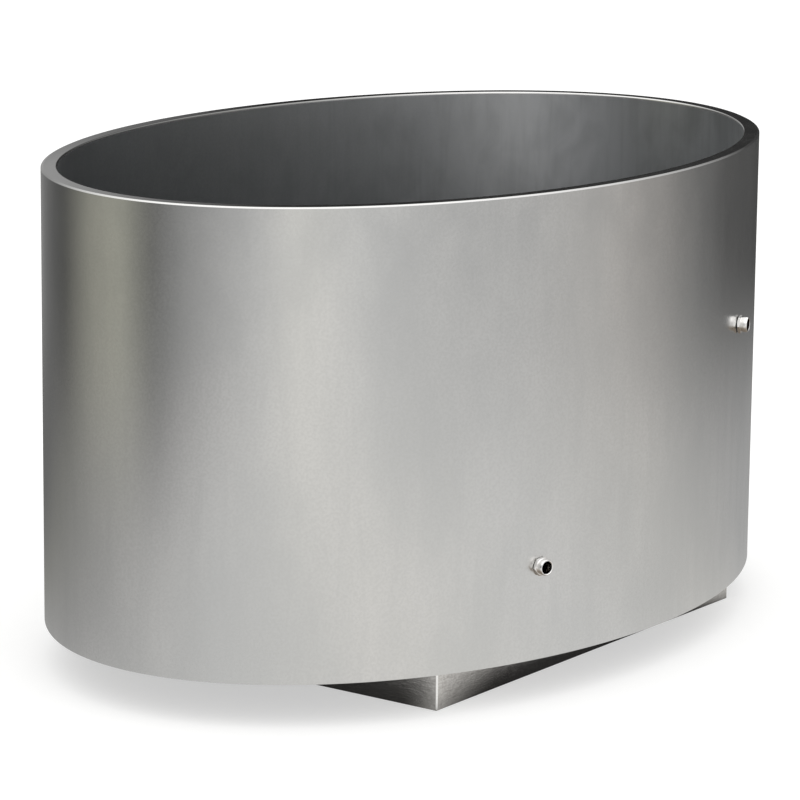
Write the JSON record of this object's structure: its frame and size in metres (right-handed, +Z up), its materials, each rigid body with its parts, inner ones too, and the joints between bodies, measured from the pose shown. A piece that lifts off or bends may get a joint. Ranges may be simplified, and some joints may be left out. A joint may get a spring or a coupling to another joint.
{
  "type": "bulk milk tank",
  "caption": "Open oval double-walled stainless milk vat with a cooling jacket, two pipe nipples and a low box plinth.",
  "frame": {"origin": "on the floor, under the centre of the oval vessel", "axes": "+X along the vessel's length, +Y towards the rear (away from the nipples), +Z up"},
  "size_m": [1.524, 1.038, 0.839],
  "materials": {
    "brushed_shell": "satin",
    "satin_liner": "satin",
    "mill_plinth": "satin",
    "bright_fitting": "gloss",
    "plain_steel": "satin",
    "black_rubber": "matte",
    "insulation": "matte"
  },
  "bodies": {
    "vat": {"outer_shell": "brushed_shell", "rim_ring": "brushed_shell", "base_plate": "plain_steel", "inner_wall": "satin_liner", "inner_floor": "satin_liner", "floor_cove": "satin_liner", "jacket_wall": "plain_steel", "jacket_lower_strip": "plain_steel", "jacket_upper_strip": "plain_steel", "insulation_lower": "insulation", "insulation_middle": "insulation", "insulation_upper": "insulation", "insulation_floor": "insulation", "cooling_inlet_nipple": "bright_fitting", "cooling_inlet_washer": "black_rubber", "cooling_inlet_boss": "plain_steel", "cooling_outlet_nipple": "bright_fitting", "cooling_outlet_washer": "black_rubber", "cooling_outlet_boss": "plain_steel", "drain_body": "bright_fitting", "drain_gasket": "black_rubber", "drain_locknut": "plain_steel", "drain_elbow": "plain_steel", "drain_pipe": "plain_steel", "drain_ferrule": "bright_fitting", "plinth_front": "mill_plinth", "plinth_rear": "mill_plinth", "plinth_left": "mill_plinth", "plinth_right": "mill_plinth", "cross_beam_left": "plain_steel", "cross_beam_right": "plain_steel", "foot_bracket_front_left": "plain_steel", "foot_bracket_front_right": "plain_steel", "foot_bracket_rear_left": "plain_steel", "foot_bracket_rear_right": "plain_steel", "foot_nut_front_left": "plain_steel", "foot_nut_front_right": "plain_steel", "foot_nut_rear_left": "plain_steel", "foot_nut_rear_right": "plain_steel"},
    "plug": {"drain_plug": "bright_fitting", "plug_seal": "black_rubber", "plug_knob": "bright_fitting"},
    "foot_front_left": {"foot_stud_front_left": "bright_fitting", "foot_sole_front_left": "black_rubber"},
    "foot_front_right": {"foot_stud_front_right": "bright_fitting", "foot_sole_front_right": "black_rubber"},
    "foot_rear_left": {"foot_stud_rear_left": "bright_fitting", "foot_sole_rear_left": "black_rubber"},
    "foot_rear_right": {"foot_stud_rear_right": "bright_fitting", "foot_sole_rear_right": "black_rubber"}
  },
  "joints": [
    {"name": "plug_lift", "type": "slide", "parent": "vat", "child": "plug", "axis": [0, 0, 1], "range_m": [0, 0.05]},
    {"name": "level_front_left", "type": "slide", "parent": "vat", "child": "foot_front_left", "axis": [0, 0, -1], "range_m": [0, 0.025]},
    {"name": "level_front_right", "type": "slide", "parent": "vat", "child": "foot_front_right", "axis": [0, 0, -1], "range_m": [0, 0.025]},
    {"name": "level_rear_left", "type": "slide", "parent": "vat", "child": "foot_rear_left", "axis": [0, 0, -1], "range_m": [0, 0.025]},
    {"name": "level_rear_right", "type": "slide", "parent": "vat", "child": "foot_rear_right", "axis": [0, 0, -1], "range_m": [0, 0.025]}
  ]
}
